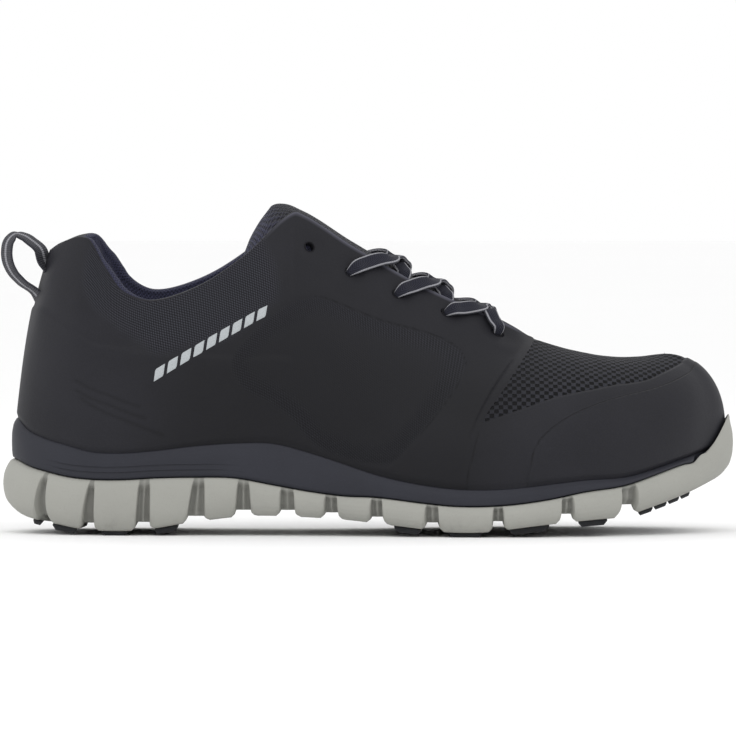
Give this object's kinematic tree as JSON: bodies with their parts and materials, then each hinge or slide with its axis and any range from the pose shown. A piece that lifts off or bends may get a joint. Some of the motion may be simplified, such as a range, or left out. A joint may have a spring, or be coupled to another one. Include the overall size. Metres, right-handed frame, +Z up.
{
  "type": "safety sneaker",
  "caption": "Low lace-up safety sneaker for the right foot, with a knit and film upper, padded collar, pull loop and a grooved foam sole.",
  "frame": {"origin": "on the floor, under the middle of the shoe's length and width", "axes": "+X towards the toe, -Y towards the wearer's outer side, +Z up"},
  "size_m": [0.3019, 0.1092, 0.1339],
  "materials": {
    "grey_foam": "matt moulded foam, light grey",
    "slate_foam": "matt moulded foam, slate",
    "black_rubber": "matt rubber with fine tread",
    "upper_film": "charcoal film over knit mesh",
    "navy_mesh": "padded navy mesh",
    "insole_cloth": "matt cloth over foam",
    "lace_cloth": "flat woven lace with light grey edges",
    "webbing": "woven webbing with a light grey stripe",
    "reflective": "light grey reflective film"
  },
  "bodies": {
    "root": {"midsole": "grey_foam", "midsole_band": "slate_foam", "insole": "insole_cloth", "upper": "upper_film", "tongue": "navy_mesh", "lace_cross_1": "lace_cloth", "lace_cross_2": "lace_cloth", "lace_cross_3": "lace_cloth", "pull_loop": "webbing", "tread_01": "black_rubber", "tread_02": "black_rubber", "tread_03": "black_rubber", "tread_04": "black_rubber", "tread_05": "black_rubber", "tread_06": "black_rubber", "tread_07": "black_rubber", "tread_08": "black_rubber", "tread_09": "black_rubber", "tread_10": "black_rubber", "tread_11": "black_rubber", "tread_12": "black_rubber"}
  },
  "joints": []
}
